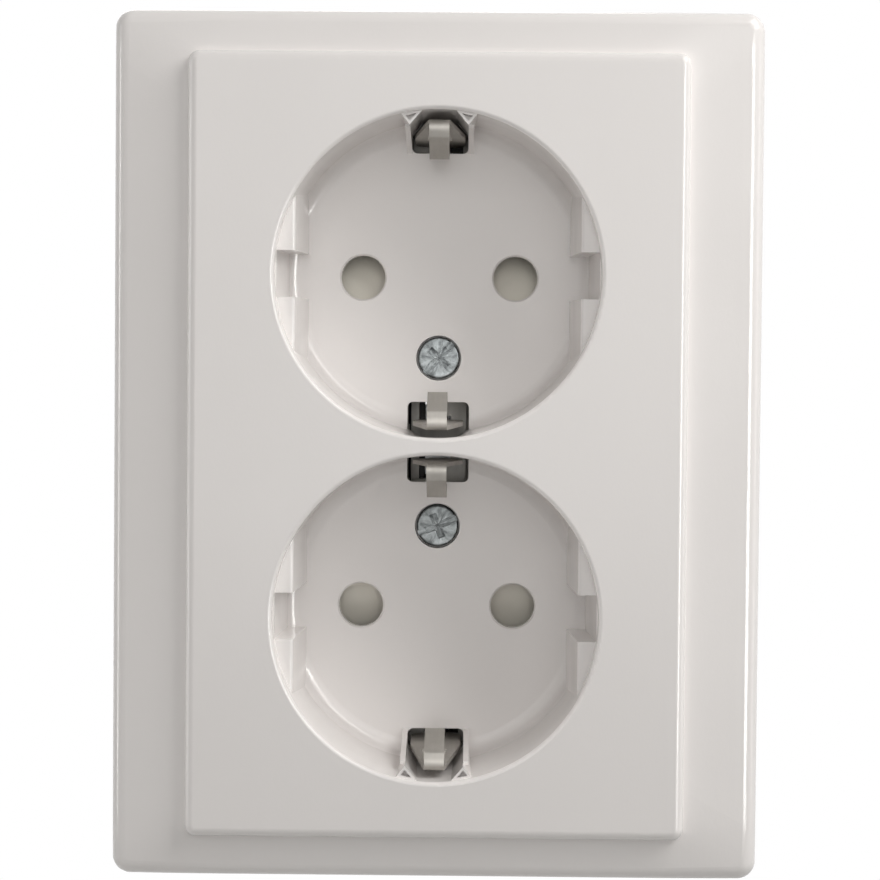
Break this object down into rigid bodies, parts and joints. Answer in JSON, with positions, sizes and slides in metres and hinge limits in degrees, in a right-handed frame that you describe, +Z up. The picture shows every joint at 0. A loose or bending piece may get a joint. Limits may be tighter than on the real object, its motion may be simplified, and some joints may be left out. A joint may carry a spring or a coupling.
{
  "type": "double earthed wall socket",
  "caption": "Rectangular double wall socket with round recessed wells one above the other, side earth clips, sprung shutters and screwless rear terminals, in a raised plate and a frame.",
  "frame": {"origin": "midway between the two box screws, in the plane of the wall", "axes": "+Z up the wall, +X to the right seen from the room, +Y into the wall"},
  "size_m": [0.0782, 0.0434, 0.1046],
  "materials": {
    "frame_plastic": "glossy warm white moulding",
    "cover_plastic": "glossy warm white moulding",
    "yoke_steel": "zinc plated sheet",
    "rivet_steel": "zinc plated",
    "housing_plastic": "dark grey moulding",
    "carrier_plastic": "light grey moulding",
    "carrier_screw_steel": "zinc plated",
    "strap_metal": "tinned",
    "cover_screw_steel": "bright zinc plated",
    "spring_steel": "bright spring wire and leaf",
    "contact_brass": "plain stamped",
    "shutter_plastic": "cream moulding",
    "clip_metal": "nickel plated spring strip",
    "button_plastic": "light grey moulding"
  },
  "bodies": {
    "body": {"outer_frame": "frame_plastic", "centre_plate": "cover_plastic", "support_yoke": "yoke_steel", "yoke_rivets": "rivet_steel", "base_housing": "housing_plastic", "contact_carrier": "carrier_plastic", "carrier_screws": "carrier_screw_steel", "earth_strap": "strap_metal", "cover_screw_upper": "cover_screw_steel", "cover_screw_lower": "cover_screw_steel", "shutter_spring_upper": "spring_steel", "shutter_spring_lower": "spring_steel", "line_busbar": "contact_brass", "neutral_busbar": "contact_brass", "line_terminal_spring": "spring_steel", "neutral_terminal_spring": "spring_steel", "earth_terminal_spring": "spring_steel"},
    "shutter_upper_slider": {"shutter_upper": "shutter_plastic"},
    "earth_clip_upper_top_leaf": {"earth_clip_upper_top": "clip_metal"},
    "earth_clip_upper_bottom_leaf": {"earth_clip_upper_bottom": "clip_metal"},
    "shutter_lower_slider": {"shutter_lower": "shutter_plastic"},
    "earth_clip_lower_top_leaf": {"earth_clip_lower_top": "clip_metal"},
    "earth_clip_lower_bottom_leaf": {"earth_clip_lower_bottom": "clip_metal"},
    "line_button": {"line_release_button": "button_plastic"},
    "neutral_button": {"neutral_release_button": "button_plastic"},
    "earth_button": {"earth_release_button": "button_plastic"}
  },
  "joints": [
    {"name": "shutter_upper_slide", "type": "slide", "parent": "body", "child": "shutter_upper_slider", "axis": [0, 0, -1], "range_m": [0, 0.006], "stiffness_N_per_m": 100, "springref_m": -0.003, "deforming": ["shutter_spring_upper"]},
    {"name": "earth_clip_upper_top_flex", "type": "hinge", "parent": "body", "child": "earth_clip_upper_top_leaf", "pos_m": [0, 0.0089, 0.03712], "axis": [-1, 0, 0], "range_deg": [0, 2], "stiffness_Nm_per_rad": 2, "springref_deg": -1.15},
    {"name": "earth_clip_upper_bottom_flex", "type": "hinge", "parent": "body", "child": "earth_clip_upper_bottom_leaf", "pos_m": [0, 0.0089, 0.00252], "axis": [1, 0, 0], "range_deg": [0, 2], "stiffness_Nm_per_rad": 2, "springref_deg": -1.15},
    {"name": "shutter_lower_slide", "type": "slide", "parent": "body", "child": "shutter_lower_slider", "axis": [0, 0, 1], "range_m": [0, 0.006], "stiffness_N_per_m": 100, "springref_m": -0.003, "deforming": ["shutter_spring_lower"]},
    {"name": "earth_clip_lower_top_flex", "type": "hinge", "parent": "body", "child": "earth_clip_lower_top_leaf", "pos_m": [0, 0.0089, -0.00252], "axis": [-1, 0, 0], "range_deg": [0, 2], "stiffness_Nm_per_rad": 2, "springref_deg": -1.15},
    {"name": "earth_clip_lower_bottom_flex", "type": "hinge", "parent": "body", "child": "earth_clip_lower_bottom_leaf", "pos_m": [0, 0.0089, -0.03712], "axis": [1, 0, 0], "range_deg": [0, 2], "stiffness_Nm_per_rad": 2, "springref_deg": -1.15},
    {"name": "line_button_press", "type": "slide", "parent": "body", "child": "line_button", "axis": [0, -1, 0], "range_m": [0, 0.0015], "stiffness_N_per_m": 3000, "springref_m": -0.0003},
    {"name": "neutral_button_press", "type": "slide", "parent": "body", "child": "neutral_button", "axis": [0, -1, 0], "range_m": [0, 0.0015], "stiffness_N_per_m": 3000, "springref_m": -0.0003},
    {"name": "earth_button_press", "type": "slide", "parent": "body", "child": "earth_button", "axis": [0, -1, 0], "range_m": [0, 0.0015], "stiffness_N_per_m": 3000, "springref_m": -0.0003}
  ]
}
